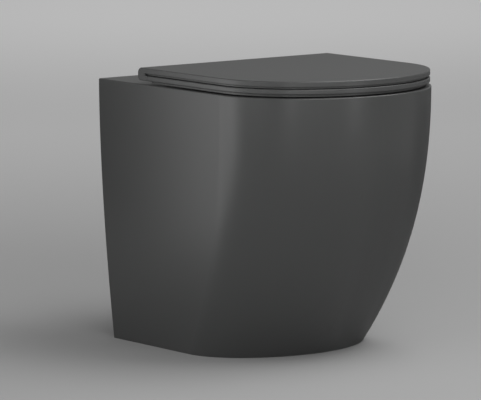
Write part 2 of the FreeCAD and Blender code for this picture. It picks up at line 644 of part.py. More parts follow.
def release_button(side):
    """A push button in the block's front face, with the wedge that spreads the clip."""
    x = side * HINGE_X
    face = BLOCK_FRONT_U + BUTTON_PROUD
    back = face - BUTTON_DEPTH
    half, tall = BUTTON_WIDTH / 2, BUTTON_HEIGHT / 2
    head = box(x - half, x + half, back, face, GROOVE_Z - tall, GROOVE_Z + tall)
    front = [e for e in head.Edges if abs(e.BoundBox.YMax - point(0, face, 0).y) < 1e-6]
    head = head.makeFillet(BUTTON_EDGE, front)
    wedge = box(x - WEDGE_WIDTH / 2, x + WEDGE_WIDTH / 2, back - WEDGE_LENGTH, back + BUTTON_EDGE,
                GROOVE_Z - CLIP_WIRE, GROOVE_Z + CLIP_WIRE)
    return one_solid(head.fuse(wedge))


def hinge_post(side):
    """A post with the clip's groove, and a stud that goes down through the deck."""
    x = side * HINGE_X
    top = DISC_TOP + POST_HEIGHT
    post = upright(POST_RADIUS, x, POST_U, DISC_TOP, top)
    post = post.makeChamfer(POST_CHAMFER, edges_at(post, top, lambda x, u: True))
    ring = upright(POST_RADIUS + OVERCUT, x, POST_U,
                   GROOVE_Z - GROOVE_HEIGHT / 2, GROOVE_Z + GROOVE_HEIGHT / 2)
    ring = ring.cut(upright(GROOVE_RADIUS, x, POST_U, DISC_TOP, top))
    stud = upright(STUD_RADIUS, x, POST_U, RIM_HEIGHT - STUD_LENGTH, DISC_TOP)
    return one_solid(post.cut(ring).fuse(stud))


def ring_stack(outer, inner, z0, z1):
    """A round plate with a hole, at each post."""
    solids = []
    for side in SIDES.values():
        plate = upright(outer, side * HINGE_X, POST_U, z0, z1)
        solids.append(plate.cut(upright(inner, side * HINGE_X, POST_U, z0 - OVERCUT, z1 + OVERCUT)))
    return solids


def fixing_plugs():
    """Rubber sleeves in the deck's holes, with a flange below that the nut pulls up."""
    solids = []
    bore = STUD_RADIUS + LOOSE_GAP
    for side in SIDES.values():
        x = side * HINGE_X
        sleeve = upright(DECK_HOLE - LOOSE_GAP, x, POST_U, DECK_BOTTOM - PLUG_FLANGE_THICKNESS,
                         RIM_HEIGHT)
        flange = upright(PLUG_FLANGE, x, POST_U, DECK_BOTTOM - PLUG_FLANGE_THICKNESS, DECK_BOTTOM)
        plug = sleeve.fuse(flange).cut(upright(bore, x, POST_U, 0, RIM_HEIGHT + OVERCUT))
        solids.append(plug.removeSplitter().Solids[0])
    return solids


def hexagon(flats, thickness, base, direction):
    """A hexagonal prism."""
    radius = flats / math.sqrt(3)
    turn = FreeCAD.Rotation(Z_AXIS, direction)
    corners = [turn.multVec(FreeCAD.Vector(radius * math.cos(math.radians(60 * k)),
                                           radius * math.sin(math.radians(60 * k)), 0)) + base
               for k in range(7)]
    return Part.Face(Part.makePolygon(corners)).extrude(direction * thickness)


def fixing_nuts():
    washer_bottom = DECK_BOTTOM - PLUG_FLANGE_THICKNESS - WASHER_THICKNESS
    solids = []
    for side in SIDES.values():
        base = point(side * HINGE_X, POST_U, washer_bottom - NUT_THICKNESS)
        nut = hexagon(NUT_FLATS, NUT_THICKNESS, base, Z_AXIS)
        solids.append(nut.cut(upright(STUD_RADIUS + FIT_GAP, side * HINGE_X, POST_U, 0, RIM_HEIGHT)))
    return solids


def damper(side, near):
    """A rotary damper's case, in a knuckle, with the hole that its shaft turns in."""
    x0, x1 = span(side, near, near + DAMPER_LENGTH)
    return plain_ring(DAMPER_RADIUS - FIT_GAP, PIN_RADIUS + RUN_GAP, x0, x1)


def knuckle_caps(places):
    """Plugs that close the far ends of the knuckles."""
    return [across(DAMPER_RADIUS - FIT_GAP, x0, x1) for x0, x1 in places]


def shaft(side, block_end, reach, away):
    """A pin or damper shaft held in a block and reaching out of it."""
    near, far = sorted((block_end - away * PIN_GRIP, block_end + away * reach))
    x0, x1 = span(side, near, far)
    return across(PIN_RADIUS, x0, x1)


def flush_inlet_seal():
    """The rubber seal in the flush inlet, with a flange on the horn and a lip round the pipe."""
    start = INLET_RECESS
    end = INLET_RECESS + INLET_BORE_DEPTH - SEAL_LIP_WIDTH
    flange = inward(INLET_BORE + HORN_WALL - SEAL_FLANGE_INSET, start - SEAL_FLANGE, start, 0, INLET_HEIGHT)
    sleeve = inward(INLET_BORE - LOOSE_GAP / 2, start, end, 0, INLET_HEIGHT)
    seal = flange.fuse(sleeve)
    bore = inward(PIPE_RADIUS, start - SEAL_FLANGE - OVERCUT, end + OVERCUT, 0, INLET_HEIGHT)
    return one_solid(seal.cut(bore))


def bracket_face():
    """X of the outer face of a floor bracket's upright."""
    return skirt_half(0) - SKIRT_WALL - BRACKET_STANDOFF


def floor_bracket(side):
    """An angle bracket: a foot for one floor screw and an upright that carries the clamp screw."""
    outer = bracket_face()
    u0, u1 = BRACKET_U - BRACKET_LENGTH / 2, BRACKET_U + BRACKET_LENGTH / 2
    f0, f1 = span(side, outer - BRACKET_FOOT, outer)
    r0, r1 = span(side, outer - BRACKET_GAUGE, outer)
    foot = box(f0, f1, u0, u1, 0, BRACKET_GAUGE)
    rise = box(r0, r1, u0, u1, 0, BRACKET_RISE)
    hole_x = side * (outer - BRACKET_FOOT / 2 - BRACKET_GAUGE / 2)
    shape = foot.fuse(rise)
    shape = shape.cut(upright(FLOOR_HOLE, hole_x, BRACKET_U, -OVERCUT, BRACKET_GAUGE + OVERCUT))
    shape = shape.cut(across(CLAMP_RADIUS + FIT_GAP, r0 - OVERCUT, r1 + OVERCUT, BRACKET_U, CLAMP_HEIGHT))
    return one_solid(shape)


def pad_face():
    """X of a pad's outer face, close to the inside of the skirt at the pad's lowest edge."""
    return skirt_half(CLAMP_HEIGHT - PAD_RADIUS) - SKIRT_WALL - PAD_GAP


def bracket_pads():
    solids = []
    for side in SIDES.values():
        x0, x1 = span(side, pad_face() - PAD_THICKNESS, pad_face())
        pad = across(PAD_RADIUS, x0, x1, BRACKET_U, CLAMP_HEIGHT)
        s0, s1 = span(side, pad_face() - PAD_THICKNESS, pad_face() - PAD_THICKNESS / 2)
        solids.append(pad.cut(across(CLAMP_RADIUS + FIT_GAP, s0, s1, BRACKET_U, CLAMP_HEIGHT)))
    return solids


def clamp_screws():
    """Screws through the uprights that press the pads out against the skirt."""
    solids = []
    for side in SIDES.values():
        inner = bracket_face() - BRACKET_GAUGE - CLAMP_TAIL
        x0, x1 = span(side, inner, pad_face() - PAD_THICKNESS / 2)
        rod = across(CLAMP_RADIUS, x0, x1, BRACKET_U, CLAMP_HEIGHT)
        head = hexagon(NUT_FLATS, THIN_NUT, point(side * inner, BRACKET_U, CLAMP_HEIGHT),
                       X_AXIS * side)
        solids.append(one_solid(rod.fuse(head)))
    return solids


def clamp_locknuts():
    solids = []
    for side in SIDES.values():
        base = point(side * (bracket_face() + FIT_GAP), BRACKET_U, CLAMP_HEIGHT)
        nut = hexagon(NUT_FLATS, THIN_NUT, base, X_AXIS * side)
        hole = across(CLAMP_RADIUS + FIT_GAP, -PAN_WIDTH, PAN_WIDTH, BRACKET_U, CLAMP_HEIGHT)
        solids.append(nut.cut(hole))
    return solids


def nodes():
    """Every piece by its name."""
    seat_start = BLOCK_OUTER + SIDE_CLEARANCE
    lid_start = LID_KNUCKLE_INNER + CAP_LENGTH + SIDE_CLEARANCE
    lid_end = BLOCK_INNER - SIDE_CLEARANCE
    made = {
        "pan_shell": pan_shell(),
        "pan_bowl": pan_bowl(),
        "pan_trapway": pan_trapway(),
        "pan_flush_horn": pan_flush_horn(),
        "seat_ring": seat_ring(),
        "lid": lid(),
        "seat_buffers": buffers(seat_buffer_places(), RIM_HEIGHT + REST_GAP, SEAT_BOTTOM),
        "lid_buffers": buffers(lid_buffer_places(), SEAT_TOP + REST_GAP, LID_BOTTOM),
        "hinge_base_discs": ring_stack(DISC_RADIUS, STUD_RADIUS + FIT_GAP, RIM_HEIGHT, DISC_TOP),
        "fixing_plugs": fixing_plugs(),
        "fixing_washers": ring_stack(
            WASHER_RADIUS, STUD_RADIUS + LOOSE_GAP,
            DECK_BOTTOM - PLUG_FLANGE_THICKNESS - WASHER_THICKNESS, DECK_BOTTOM - PLUG_FLANGE_THICKNESS),
        "fixing_nuts": fixing_nuts(),
        "lid_damper": damper(-1, lid_end - DAMPER_LENGTH),
        "lid_damper_shaft": shaft(-1, BLOCK_INNER, DAMPER_LENGTH - PIN_GRIP, -1),
        "seat_damper": damper(1, seat_start),
        "seat_damper_shaft": shaft(1, BLOCK_OUTER, DAMPER_LENGTH - PIN_GRIP, 1),
        "lid_hinge_bush": plain_ring(DAMPER_RADIUS - FIT_GAP, PIN_RADIUS + RUN_GAP,
                                     lid_end - DAMPER_LENGTH, lid_end),
        "lid_hinge_pin": shaft(1, BLOCK_INNER, PIN_REACH, -1),
        "seat_hinge_bush": plain_ring(DAMPER_RADIUS - FIT_GAP, PIN_RADIUS + RUN_GAP,
                                      -seat_start - DAMPER_LENGTH, -seat_start),
        "seat_hinge_pin": shaft(-1, BLOCK_OUTER, PIN_REACH, 1),
        "seat_knuckle_caps": knuckle_caps([
            span(side, SEAT_KNUCKLE_OUTER - CAP_LENGTH, SEAT_KNUCKLE_OUTER) for side in SIDES.values()]),
        "lid_knuckle_caps": knuckle_caps([
            span(side, LID_KNUCKLE_INNER, LID_KNUCKLE_INNER + CAP_LENGTH) for side in SIDES.values()]),
        "flush_inlet_seal": flush_inlet_seal(),
        "bracket_pads": bracket_pads(),
        "clamp_screws": clamp_screws(),
        "clamp_locknuts": clamp_locknuts(),
    }
    for name, side in SIDES.items():
        made["hinge_block_" + name] = hinge_block(side)
        made["hinge_post_" + name] = hinge_post(side)
        made["release_button_" + name] = release_button(side)
        made["retaining_clip_" + name] = retaining_clip(side)
        made["floor_bracket_" + name] = floor_bracket(side)
    return made


def main():
    os.makedirs("parts", exist_ok=True)
    for name, shape in nodes().items():
        if isinstance(shape, list):
            shape = Part.makeCompound(shape)
        solids = shape.Solids
        volume = sum(s.Volume for s in solids)
        print(name, len(solids), "solids", round(volume / 1000, 2), "cm3",
              "valid" if shape.isValid() else "NOT VALID")
        shape.exportStep(os.path.join("parts", name + ".step"))


main()
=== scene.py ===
"""Looks of a back-to-wall floor-standing toilet: matt dark china, a slim satin seat and lid, and their hinges.

Metres, +Z up, the wall towards +Y and the front towards -Y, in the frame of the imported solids.
"""

import math

import bmesh
import bpy
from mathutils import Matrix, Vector


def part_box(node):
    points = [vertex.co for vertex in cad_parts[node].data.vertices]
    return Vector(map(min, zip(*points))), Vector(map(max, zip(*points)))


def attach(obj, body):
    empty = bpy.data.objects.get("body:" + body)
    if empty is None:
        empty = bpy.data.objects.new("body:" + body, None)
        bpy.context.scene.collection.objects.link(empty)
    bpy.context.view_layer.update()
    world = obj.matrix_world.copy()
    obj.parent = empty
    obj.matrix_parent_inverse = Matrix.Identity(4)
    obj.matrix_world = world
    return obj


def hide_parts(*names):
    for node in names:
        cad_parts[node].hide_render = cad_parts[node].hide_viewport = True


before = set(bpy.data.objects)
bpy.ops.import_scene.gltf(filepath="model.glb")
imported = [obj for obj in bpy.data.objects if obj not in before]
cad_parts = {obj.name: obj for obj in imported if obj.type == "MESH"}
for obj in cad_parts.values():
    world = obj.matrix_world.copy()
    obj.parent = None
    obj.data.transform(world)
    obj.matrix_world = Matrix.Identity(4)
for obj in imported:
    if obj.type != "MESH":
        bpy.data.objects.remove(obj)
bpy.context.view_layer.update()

bl_info = {
    "name": "Floor-standing toilet",
    "version": (1, 0, 0),
    "blender": (4, 5, 0),
    "location": "View3D > Sidebar > Toilet",
    "description": "Finishes the pan, seat, lid, hinges and fixings of a floor-standing toilet and lights it",
    "category": "Object",
}

MM = 0.001
UP = (0, 0, 1)
FORWARD = (0, -1, 0)
SIDES = {"left": -1, "right": 1}

# CAD nodes that keep their shape, by finish
CHINA_NODES = ("pan_shell", "pan_bowl", "pan_trapway", "pan_flush_horn")
RESIN_NODES = ("seat_ring", "lid")
RUBBER_NODES = ("fixing_plugs",)
BRIGHT_NODES = ("lid_damper_shaft", "lid_hinge_pin", "seat_damper_shaft", "seat_hinge_pin",
                "retaining_clip_left", "retaining_clip_right")
HINGE_NODES = ("hinge_block_left", "hinge_block_right", "seat_knuckle_caps", "lid_knuckle_caps",
               "lid_damper", "seat_damper")
NYLON_NODES = ("lid_hinge_bush", "seat_hinge_bush")

# Texture of each finish, as drift (scale, amount), grain (scale, spread) and bump (strength, depth)
TEXTURES = {
    "china": ((5.0, 0.10), (1400.0, 0.10), (0.04, 0.0002)),
    "resin": ((8.0, 0.06), (1800.0, 0.08), (0.03, 0.0002)),
    "rubber": ((40.0, 0.25), (2500.0, 0.15), (0.15, 0.0002)),
    "steel": ((60.0, 0.08), (3000.0, 0.20), (0.05, 0.0001)),
    "hinge": ((30.0, 0.10), (2600.0, 0.10), (0.12, 0.0002)),
    "button": ((30.0, 0.08), (2600.0, 0.10), (0.10, 0.0002)),
    "nylon": ((40.0, 0.08), (2200.0, 0.10), (0.10, 0.0002)),
    "zinc": ((90.0, 0.25), (1500.0, 0.20), (0.08, 0.0002)),
}
ROUGHNESS = {"rubber": 0.70, "steel": 0.28, "hinge": 0.45, "button": 0.40, "nylon": 0.50, "zinc": 0.36}
NOISE_MIDDLE = 0.5
MATT = 0.9                      # roughness of the floor and the cards

# Fineness of the meshes
TURNED_STEPS = 48               # points round a turned shape
QUARTER_STEPS = 8               # steps round a rounded corner or a fold
THREAD_STEPS = 6                # rings for each turn of a thread
BLOCK_STEPS = 3                 # steps over the rounded edge of a block
RIM_STEPS = 2                   # steps over the rounded rim of a sheet
RIM_ANGLE = math.radians(50)
SHARP_ANGLE = math.radians(32)
MERGE_DISTANCE = 1e-6

# Buffers
BUFFER_DIMPLE = (0.35, 0.45, 0.4)       # two shares of the radius, and a depth in quarters of the thickness
BUFFER_EDGE = ((2.0, 0.0), (1.3, 0.25), (0.7, 1.0), (0.5, 2.0), (0.0, 2.6))     # inset and height in quarters

# Inlet seal
SEAL_WALL = 4.9 * MM
SEAL_FLANGE = 4.0 * MM
SEAL_GROOVE = ((3 * MM, 0.0), (5 * MM, 0.6 * MM), (7 * MM, 0.6 * MM), (8 * MM, 0.0))    # out from the bore, deep
SEAL_FRONT_EDGE = ((1.5 * MM, 0.0), (0.4 * MM, 0.5 * MM), (0.0, 1.6 * MM))  # in from the edge, in from the face
SEAL_BACK_EDGE = ((0.0, 0.6 * MM), (0.6 * MM, 0.0))
SEAL_TAPER = 2.0 * MM
SEAL_TIP = 1.5 * MM
SEAL_MOUTH = 1.2 * MM
LIP_COUNT = 4
LIP_MARGIN = 3.0 * MM           # from the lips to each end of the seal
LIP_WIDTH = 1.6 * MM
LIP_DEPTH = 1.8 * MM
LIP_SLOPE = 3.2 * MM
LIP_LEAD = 1.2 * MM

# Hinge posts and base discs
POST_CHAMFER = 1.2 * MM
POST_GROOVE = 4.0 * MM          # from the base disc up to the middle of the clip's groove
GROOVE_HALF = 1.0 * MM
POST_TIP = 1.2 * MM
THREAD_RUN_OUT = 1.0 * MM
DISC_EDGE = 0.9 * MM

# Release buttons
BUTTON_HEAD = 4.6 * MM
BUTTON_EDGE = 0.9 * MM
STEM_HALF = (2.5 * MM, 0.7 * MM)        # half its width and half its height
STEM_ROOT = 1.0 * MM
STEM_EDGE = 0.2 * MM
RIDGE_LEVELS = (-1.7 * MM, 0.0, 1.7 * MM)
RIDGE_HEIGHT = 0.6 * MM
RIDGE_INSET = 2.0 * MM
RIDGE_HALF = 0.45 * MM
RIDGE_EDGE = 0.25 * MM

# Nuts, washers, clamp screws, pads and brackets
NUT_FACE = 0.94                 # round face of a nut as a share of its width
NUT_CHAMFER = math.radians(30)
NUT_LEAD = 0.7 * MM
WASHER_EDGE = 0.4 * MM
SCREW_REACH = 15.0 * MM         # from the bracket to the far side of the screw's head
SCREW_HEAD = 5.0 * MM           # height of the head and of the locknut
SCREW_TIP = 1.0 * MM
PAD_THICKNESS = 6.0 * MM
PAD_CLEARANCE = 0.4 * MM
PAD_GROOVE = ((0.55, 0.0), (0.60, 0.8 * MM), (0.80, 0.8 * MM), (0.85, 0.0))     # share of the radius, deep
PAD_BACK_EDGE = ((1.2 * MM, 0.0), (0.3 * MM, 0.4 * MM), (0.0, 1.4 * MM))        # in from the rim, in from the back
PAD_FACE_EDGE = ((0.0, 1.6 * MM), (0.5 * MM, 0.4 * MM), (1.6 * MM, 0.0))        # in from the rim, in from the face
SHEET_RIM = 0.5 * MM

# Lamps: azimuth from the front and elevation in degrees, distance, width and height, power, aim, spread in degrees
BODY_MIDDLE = (0.0, 0.0, 0.25)
LAMPS = {
    "left_card": (-138.0, 2.0, 0.9, (0.5, 0.8), 0.26, (-0.18, -0.27, 0.25), 60.0),
    "side_card": (-120.0, 2.0, 1.2, (0.4, 0.8), 0.19, (-0.18, -0.24, 0.25), 60.0),
    "left_fill": (-84.0, 12.0, 3.0, (2.0, 1.2), 4.0, BODY_MIDDLE, 100.0),
    "front_strip": (-44.0, 8.0, 2.6, (0.35, 1.2), 2.3, BODY_MIDDLE, 180.0),
    "right_strip": (12.0, 8.0, 2.6, (0.40, 1.2), 3.0, BODY_MIDDLE, 180.0),
    "front_fill": (-24.0, 18.0, 3.0, (2.4, 1.2), 9.6, BODY_MIDDLE, 100.0),
    "overhead": (50.0, 62.0, 1.6, (1.2, 1.2), 19.5, BODY_MIDDLE, 180.0),
    "far_floor": (0.0, 90.0, 2.6, (3.5, 3.5), 9.8, (3.6, 4.7, 0.0), 110.0),
}

# Dark cards, seen only in reflections as painted dark reflections of the shade round the toilet: two angles in
# degrees from the front, and a tone
CARD_TONE = 0.13
UPRIGHT_CARDS = {"right_card": (72.0, 156.0, CARD_TONE), "rear_card": (-172.0, -139.0, CARD_TONE)}
# The floor cards grow darker towards the right and the rear, as painted shade seen only in reflections
FLOOR_CARDS = {"floor_card_0": (30.0, 52.0, 0.27), "floor_card_1": (52.0, 78.0, 0.20),
               "floor_card_2": (78.0, 156.0, CARD_TONE)}
CARD_DISTANCE = 1.20
CARD_HEIGHT = 0.36
FLOOR_CARD_REACH = (0.10, 1.20)
CARD_LIFT = 0.002
CARD_STEPS = 8

# Camera and world
IMAGE_WIDTH = 481
SENSOR_MM = 36.0
CLIP_END = 100.0
DIM_SIDE = (0.6, 0.8, 0.0)
DIM_START = 0.1                 # cosine of the angle from that side at which the light starts to fade


class ToiletFinish(bpy.types.PropertyGroup):
    """Colours of the toilet's materials."""

    china: bpy.props.FloatVectorProperty(
        name="China", description="Colour of the pan's matt glaze", subtype="COLOR", size=4,
        min=0.0, max=1.0, default=(0.050, 0.051, 0.0505, 1.0))
    china_roughness: bpy.props.FloatProperty(
        name="China roughness", description="How matt the glaze is", subtype="FACTOR",
        min=0.0, max=1.0, default=0.30)
    resin: bpy.props.FloatVectorProperty(
        name="Seat", description="Colour of the seat and the lid", subtype="COLOR", size=4,
        min=0.0, max=1.0, default=(0.054, 0.055, 0.0545, 1.0))
    resin_roughness: bpy.props.FloatProperty(
        name="Seat roughness", description="How satin the seat and the lid are", subtype="FACTOR",
        min=0.0, max=1.0, default=0.34)
    rubber: bpy.props.FloatVectorProperty(
        name="Rubber", description="Colour of buffers, plugs and seal", subtype="COLOR", size=4,
        min=0.0, max=1.0, default=(0.020, 0.020, 0.021, 1.0))
    steel: bpy.props.FloatVectorProperty(
        name="Steel", description="Colour of the hinge posts and pins", subtype="COLOR", size=4,
        min=0.0, max=1.0, default=(0.62, 0.62, 0.61, 1.0))
    zinc: bpy.props.FloatVectorProperty(
        name="Zinc", description="Colour of the zinc-plated fixings", subtype="COLOR", size=4,
        min=0.0, max=1.0, default=(0.56, 0.57, 0.58, 1.0))
    hinge: bpy.props.FloatVectorProperty(
        name="Hinge plastic", description="Colour of the hinge blocks, dampers and caps",
        subtype="COLOR", size=4, min=0.0, max=1.0, default=(0.045, 0.045, 0.046, 1.0))
    button: bpy.props.FloatVectorProperty(
        name="Button plastic", description="Colour of the release buttons", subtype="COLOR", size=4,
        min=0.0, max=1.0, default=(0.20, 0.20, 0.20, 1.0))
    nylon: bpy.props.FloatVectorProperty(
        name="Nylon", description="Colour of the bushes and pads", subtype="COLOR", size=4,
        min=0.0, max=1.0, default=(0.70, 0.69, 0.64, 1.0))


class ToiletHardware(bpy.types.PropertyGroup):
    """Sizes of the small fittings that the solids leave plain."""

    thread_pitch: bpy.props.FloatProperty(
        name="Thread pitch", description="Pitch of the studs' and screws' threads", unit="LENGTH",
        default=1.25 * MM)
    thread_depth: bpy.props.FloatProperty(
        name="Thread depth", description="Depth of those threads", unit="LENGTH", default=0.65 * MM)
    stud_radius: bpy.props.FloatProperty(
        name="Stud radius", description="Radius of the studs and screws", unit="LENGTH", default=4.0 * MM)
    post_radius: bpy.props.FloatProperty(
        name="Post radius", description="Radius of a hinge post", unit="LENGTH", default=5.0 * MM)
    groove_radius: bpy.props.FloatProperty(
        name="Groove radius", description="Radius of a hinge post in its clip groove", unit="LENGTH",
        default=3.7 * MM)
    nut_flats: bpy.props.FloatProperty(
        name="Nut width", description="Width of the nuts across their flats", unit="LENGTH",
        default=13.0 * MM)
    sheet_gauge: bpy.props.FloatProperty(
        name="Bracket thickness", description="Thickness of the floor brackets", unit="LENGTH",
        default=4.0 * MM)
    sheet_bend: bpy.props.FloatProperty(
        name="Bracket bend", description="Outer radius of the brackets' bend", unit="LENGTH",
        default=6.5 * MM)
    sheet_corner: bpy.props.FloatProperty(
        name="Bracket corner", description="Radius of the brackets' corners", unit="LENGTH",
        default=7.0 * MM)
    floor_hole: bpy.props.FloatProperty(
        name="Floor hole", description="Radius of the holes for floor screws", unit="LENGTH",
        default=4.5 * MM)
    buffer_radius: bpy.props.FloatProperty(
        name="Buffer radius", description="Radius of the rubber buffers", unit="LENGTH", default=8.0 * MM)
    buffer_peg: bpy.props.FloatProperty(
        name="Buffer peg", description="How far a buffer's peg goes into the seat or lid", unit="LENGTH",
        default=3.8 * MM)
    buffer_front: bpy.props.FloatProperty(
        name="Front buffers", description="Distance of the front buffers from the middle", unit="LENGTH",
        default=92.0 * MM)
    pipe_radius: bpy.props.FloatProperty(
        name="Flush pipe radius", description="Radius of the pipe that the inlet seal takes", unit="LENGTH",
        default=22.5 * MM)


class ToiletStage(bpy.types.PropertyGroup):
    """Floor, camera and light."""

    # The floor's colours paint light: the near colour is darker as painted shade round the toilet's foot, and the
    # far colour is paler as painted light where the lamps' light falls off.
    shaded_floor_colour: bpy.props.FloatVectorProperty(
        name="Floor", description="Colour of the floor round the toilet", subtype="COLOR", size=4,
        min=0.0, max=1.0, default=(0.385, 0.385, 0.385, 1.0))
    lit_far_colour: bpy.props.FloatVectorProperty(
        name="Far floor", description="Colour of the floor far from the toilet", subtype="COLOR", size=4,
        min=0.0, max=1.0, default=(0.95, 0.95, 0.95, 1.0))
    near_reach: bpy.props.FloatProperty(
        name="Near floor", description="Distance at which the floor starts to turn paler", unit="LENGTH",
        default=0.4)
    far_reach: bpy.props.FloatProperty(
        name="Far reach", description="Distance at which the floor is palest", unit="LENGTH", default=3.0)
    floor_size: bpy.props.FloatProperty(
        name="Floor size", description="Length of the floor's sides", unit="LENGTH", default=24.0)
    azimuth: bpy.props.FloatProperty(
        name="Azimuth", description="How far the camera stands round to the right of the front",
        subtype="ANGLE", default=math.radians(-38.20))
    elevation: bpy.props.FloatProperty(
        name="Elevation", description="How far the camera stands above the level", subtype="ANGLE",
        default=math.radians(7.669))
    distance: bpy.props.FloatProperty(
        name="Distance", description="From the camera to what it looks at", unit="LENGTH", default=6.159)
    target: bpy.props.FloatVectorProperty(
        name="Target", description="What the camera looks at", subtype="TRANSLATION", unit="LENGTH",
        default=(-0.0913, -0.005, 0.2337))
    focal_pixels: bpy.props.FloatProperty(
        name="Focal length", description="Focal length in pixels of the picture", default=4093.0)
    world_level: bpy.props.FloatProperty(
        name="World", description="Strength of the light from all around", min=0.0, default=0.33)
    dim_level: bpy.props.FloatProperty(
        name="Dim side", description="Share of that light that comes from behind on the right",
        subtype="FACTOR", min=0.0, max=1.0, default=0.70)


# Shader building blocks

def socketed_group(name, inputs, outputs):
    """An empty shader node group with its sockets and its two end nodes."""
    group = bpy.data.node_groups.new(name, "ShaderNodeTree")
    for label, kind, value in inputs:
        socket = group.interface.new_socket(name=label, in_out="INPUT", socket_type=kind)
        socket.default_value = value
    for label, kind in outputs:
        group.interface.new_socket(name=label, in_out="OUTPUT", socket_type=kind)
    start = group.nodes.new("NodeGroupInput")
    start.location = (-900, 0)
    end = group.nodes.new("NodeGroupOutput")
    end.location = (500, 0)
    return group, start, end


def add_node(tree, kind, place, inputs=(), **properties):
    """A node with some of its properties set, and some of its inputs by their name or number."""
    node = tree.nodes.new(kind)
    node.location = place
    for key, value in properties.items():
        setattr(node, key, value)
    for socket, value in inputs:
        node.inputs[socket].default_value = value
    return node


def tone_drift_group():
    """Slow drift of a colour over a surface, a little darker and a little lighter."""
    group, start, end = socketed_group(
        "tone drift",
        [("Color", "NodeSocketColor", (0.5, 0.5, 0.5, 1.0)), ("Scale", "NodeSocketFloat", 6.0),
         ("Amount", "NodeSocketFloat", 0.1)],
        [("Color", "NodeSocketColor")])
    links = group.links
    place = add_node(group, "ShaderNodeTexCoord", (-900, -250))
    noise = add_node(group, "ShaderNodeTexNoise", (-650, -150), [("Detail", 4.0), ("Roughness", 0.55)])
    centred = add_node(group, "ShaderNodeMath", (-450, -150), [(1, NOISE_MIDDLE)], operation="SUBTRACT")
    scaled = add_node(group, "ShaderNodeMath", (-250, -150), [(2, 1.0)], operation="MULTIPLY_ADD")
    tinted = add_node(group, "ShaderNodeVectorMath", (0, 0), operation="SCALE")
    links.new(place.outputs["Object"], noise.inputs["Vector"])
    links.new(start.outputs["Scale"], noise.inputs["Scale"])
    links.new(noise.outputs["Fac"], centred.inputs[0])
    links.new(centred.outputs[0], scaled.inputs[0])
    links.new(start.outputs["Amount"], scaled.inputs[1])
    links.new(start.outputs["Color"], tinted.inputs[0])
    links.new(scaled.outputs[0], tinted.inputs["Scale"])
    links.new(tinted.outputs[0], end.inputs["Color"])
    return group


def fine_grain_group():
    """Fine even grain as a height, and the same grain as a shift of roughness."""
    group, start, end = socketed_group(
        "fine grain",
        [("Scale", "NodeSocketFloat", 900.0), ("Roughness", "NodeSocketFloat", 0.4),
         ("Spread", "NodeSocketFloat", 0.1)],
        [("Height", "NodeSocketFloat"), ("Roughness", "NodeSocketFloat")])
    links = group.links
    place = add_node(group, "ShaderNodeTexCoord", (-900, -250))
    noise = add_node(group, "ShaderNodeTexNoise", (-650, -150), [("Detail", 2.0), ("Roughness", 0.5)])
    centred = add_node(group, "ShaderNodeMath", (-400, -250), [(1, NOISE_MIDDLE)], operation="SUBTRACT")
    shifted = add_node(group, "ShaderNodeMath", (-150, -250), operation="MULTIPLY_ADD")
    links.new(place.outputs["Object"], noise.inputs["Vector"])
    links.new(start.outputs["Scale"], noise.inputs["Scale"])
    links.new(noise.outputs["Fac"], centred.inputs[0])
    links.new(centred.outputs[0], shifted.inputs[0])
    links.new(start.outputs["Spread"], shifted.inputs[1])
    links.new(start.outputs["Roughness"], shifted.inputs[2])
    links.new(noise.outputs["Fac"], end.inputs["Height"])
    links.new(shifted.outputs[0], end.inputs["Roughness"])
    return group


def shared_group(name, build):
    """A node group by its name, built the first time that it is asked for."""
    return bpy.data.node_groups.get(name) or build()


def plain_material(name, roughness):
    """A material with an even roughness, and its shader."""
    material = bpy.data.materials.new(name)
    material.use_nodes = True
    shader = material.node_tree.nodes["Principled BSDF"]
    shader.inputs["Roughness"].default_value = roughness
    return material, shader


def finish_material(name, texture, colour, roughness, metallic=0.0):
    """A material whose colour drifts and whose grain shows in roughness and bump."""
    drift, grain, bump = TEXTURES[texture]
    material, shader = plain_material(name, roughness)
    shader.inputs["Base Color"].default_value = colour
    shader.inputs["Metallic"].default_value = metallic
    tree = material.node_tree
    tone = add_node(tree, "ShaderNodeGroup", (-500, 250),
                    [("Color", colour), ("Scale", drift[0]), ("Amount", drift[1])],
                    node_tree=shared_group("tone drift", tone_drift_group))
    fine = add_node(tree, "ShaderNodeGroup", (-500, 0),
                    [("Scale", grain[0]), ("Roughness", roughness), ("Spread", grain[1])],
                    node_tree=shared_group("fine grain", fine_grain_group))
    relief = add_node(tree, "ShaderNodeBump", (-250, -200), [("Strength", bump[0]), ("Distance", bump[1])])
    tree.links.new(tone.outputs["Color"], shader.inputs["Base Color"])
    tree.links.new(fine.outputs["Roughness"], shader.inputs["Roughness"])
    tree.links.new(fine.outputs["Height"], relief.inputs["Height"])
    tree.links.new(relief.outputs["Normal"], shader.inputs["Normal"])
    return material


def dress(names, material):
    """Puts a material on CAD nodes."""
    for name in names:
        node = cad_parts[name]
        node.data.materials.clear()
        node.data.materials.append(material)


# Mesh building blocks

def middle_of(node):
    """Middle of a CAD node's box."""
    low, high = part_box(node)
    return (Vector(low) + Vector(high)) / 2


def turned(rings, origin, axis, closed=False):
    """Points and faces turned about an axis. A ring is a radius and a height, or gives them for an angle."""
    axis = Vector(axis)
    first = axis.orthogonal().normalized()
    second = axis.cross(first)
    points, faces = [], []
    for ring in rings:
        for step in range(TURNED_STEPS):
            angle = 2 * math.pi * step / TURNED_STEPS
            radius, height = ring(angle) if callable(ring) else ring
            outward = first * math.cos(angle) + second * math.sin(angle)
            points.append(Vector(origin) + axis * height + outward * radius)
    for row in range(len(rings) if closed else len(rings) - 1):
        here, above = row * TURNED_STEPS, (row + 1) % len(rings) * TURNED_STEPS
        for step in range(TURNED_STEPS):
            after = (step + 1) % TURNED_STEPS
            faces.append((here + step, here + after, above + after, above + step))
    return points, faces


